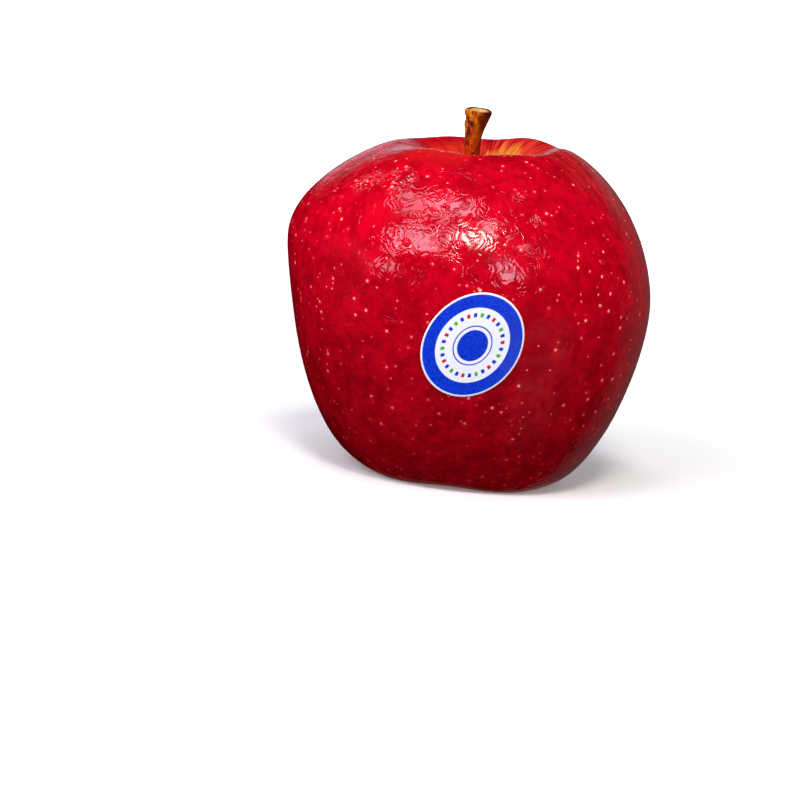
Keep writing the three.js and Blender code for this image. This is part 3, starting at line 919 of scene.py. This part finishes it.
def make_drops(material):
    """Flat beads of water: the large ones in their places, and small ones scattered on the upper half."""
    draw = np.random.default_rng(SEED)
    beads = list(LARGE_BEADS)
    for _ in range(SMALL_BEADS):
        azimuth = draw.uniform(-180, 180)
        height = draw.uniform(*SMALL_BEAD_HEIGHTS)
        beads.append((azimuth, height, draw.uniform(*SMALL_BEAD_SIZES)))
    theta = np.linspace(0, 2 * math.pi, BEAD_SIDES, endpoint=False)[:, None]
    points = []
    faces = []
    for azimuth, height, size in beads:
        spot, outward = skin_spot(math.radians(azimuth), height)
        if max(abs(spot.x), abs(spot.y)) + size > BEAD_LIMIT:
            continue
        across = outward.orthogonal().normalized()
        around_way = outward.cross(across)
        oval = size * (1 + 0.1 * np.cos(2 * theta + height))
        ring = oval * (np.cos(theta) * np.array(across) + np.sin(theta) * np.array(around_way))
        rise = BEAD_RISE * size
        rows = []
        for polar in np.radians(np.linspace(*BEAD_POLAR, BEAD_ROWS)):
            level = np.array(spot) + math.cos(polar) * rise * np.array(outward)
            rows.append(level + math.sin(polar) * ring)
        start = len(points)
        points.append(spot + outward * rise)
        points.extend(np.concatenate(rows))
        points.append(spot - outward * rise * BEAD_SUNK)
        faces.extend(tuple(start + index for index in face) for face in ring_faces(len(rows), len(theta)))
    drops = mesh_object("water_beads", points, faces, material)
    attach(drops, "root")


def make_stage():
    """A pale floor that bends up into a pale wall, far from the apple."""
    pale = Shader("studio_floor")
    # A faint glow of its own keeps the floor nearly white, and its shadows pale.
    pale.set(
        Base_Color=FLOOR_COLOUR,
        Roughness=1.0,
        Emission_Color=(1.0, 1.0, 1.0, 1.0),
        Emission_Strength=FLOOR_GLOW,
    )
    profile = [(radius, 0) for radius in FLOOR_RINGS]
    for step in range(1, BOWL_STEPS + 1):
        bend = step / BOWL_STEPS * math.pi / 2
        radius = FLOOR_RINGS[-1] + BOWL_BEND * math.sin(bend)
        profile.append((radius, BOWL_BEND * (1 - math.cos(bend))))
    profile.append((FLOOR_RINGS[-1] + BOWL_BEND, BOWL_HEIGHT))
    theta = np.linspace(0, 2 * math.pi, FLOOR_SIDES, endpoint=False)
    rings = np.array([
        np.stack([radius * np.cos(theta), radius * np.sin(theta), height + 0 * theta], -1)
        for radius, height in profile
    ])
    points = np.concatenate([[(0, 0, 0)], rings.reshape(-1, 3)])
    faces = ring_faces(len(profile), FLOOR_SIDES, closed=False)
    floor = mesh_object("studio_floor", points, faces, pale.material)
    floor.visible_glossy = False
    floor.visible_diffuse = False
    # The floor and its wall hold back no light: the lights stand outside them, and one below.
    floor.visible_shadow = False


def make_camera():
    """The camera at the photograph's viewing angle; returns its place."""
    middle = Vector((0, 0, CAMERA_MIDDLE))
    back = Vector((0, -math.cos(CAMERA_ELEVATION), math.sin(CAMERA_ELEVATION)))
    up = Vector((0, math.sin(CAMERA_ELEVATION), math.cos(CAMERA_ELEVATION)))
    place = middle + back * CAMERA_DISTANCE
    aim = middle - Vector((CAMERA_AIM_WEST, 0, 0)) - up * CAMERA_AIM_DOWN
    forward = (aim - place).normalized()
    right = forward.cross(Vector((0, 0, 1))).normalized()
    above = right.cross(forward)
    rolled_right = right * math.cos(CAMERA_ROLL) + above * math.sin(CAMERA_ROLL)
    rolled_above = above * math.cos(CAMERA_ROLL) - right * math.sin(CAMERA_ROLL)
    data = bpy.data.cameras.new("camera")
    data.lens = CAMERA_LENS
    data.clip_start = 0.01
    camera = bpy.data.objects.new("camera", data)
    turn = Matrix((rolled_right, rolled_above, -forward)).transposed()
    camera.matrix_world = Matrix.Translation(place * MM) @ turn.to_4x4()
    bpy.context.scene.collection.objects.link(camera)
    bpy.context.scene.camera = camera
    return place


def area_light(name, place, aim, wide, tall, radiance, colour, hidden):
    """An oval softbox, by how bright its face is; its sizes are in millimetres."""
    data = bpy.data.lights.new(name, "AREA")
    data.shape = "ELLIPSE"
    data.size = wide * MM
    data.size_y = tall * MM
    data.energy = radiance * math.pi * math.pi * data.size * data.size_y / 4
    data.color = colour
    light = bpy.data.objects.new(name, data)
    light.location = place * MM
    light.rotation_euler = (aim - place).to_track_quat("-Z", "Y").to_euler()
    for rays in hidden:
        setattr(light, "visible_" + rays, False)
    bpy.context.scene.collection.objects.link(light)


def make_lights(camera_place):
    """Softboxes that the skin mirrors where the photograph shows highlights, and a pale sky."""
    for box in SOFTBOXES:
        spot, outward = skin_spot(math.radians(box["azimuth"]), box["height"])
        sight = (spot - camera_place).normalized()
        toward = sight - 2 * sight.dot(outward) * outward
        wide, tall = (2 * SOFTBOX_DISTANCE * math.tan(math.radians(box[key] / 2)) for key in ("wide", "tall"))
        place = spot + toward * SOFTBOX_DISTANCE
        colour = box.get("colour", SOFTBOX_COLOUR)
        area_light(box["name"], place, spot, wide, tall, box["radiance"], colour, box.get("hidden", ()))
    for lamp in STUDIO_LIGHTS:
        place, aim = Vector(lamp["place"]), Vector(lamp["aim"])
        sizes = (lamp["wide"], lamp["tall"])
        area_light(lamp["name"], place, aim, *sizes, lamp["radiance"], lamp["colour"], lamp["hidden"])
    world = bpy.data.worlds.new("sky")
    world.use_nodes = True
    background = world.node_tree.nodes["Background"]
    background.inputs["Color"].default_value = (1.0, 1.0, 1.0, 1.0)
    background.inputs["Strength"].default_value = SKY_RADIANCE
    world.cycles_visibility.glossy = False
    bpy.context.scene.world = world
    bpy.context.scene.view_settings.view_transform = "Standard"


def main():
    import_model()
    make_fruit(skin_material())
    make_stem(stem_material())
    make_calyx(calyx_material())
    make_label(label_material())
    make_drops(water_material())
    make_stage()
    make_lights(make_camera())


main()
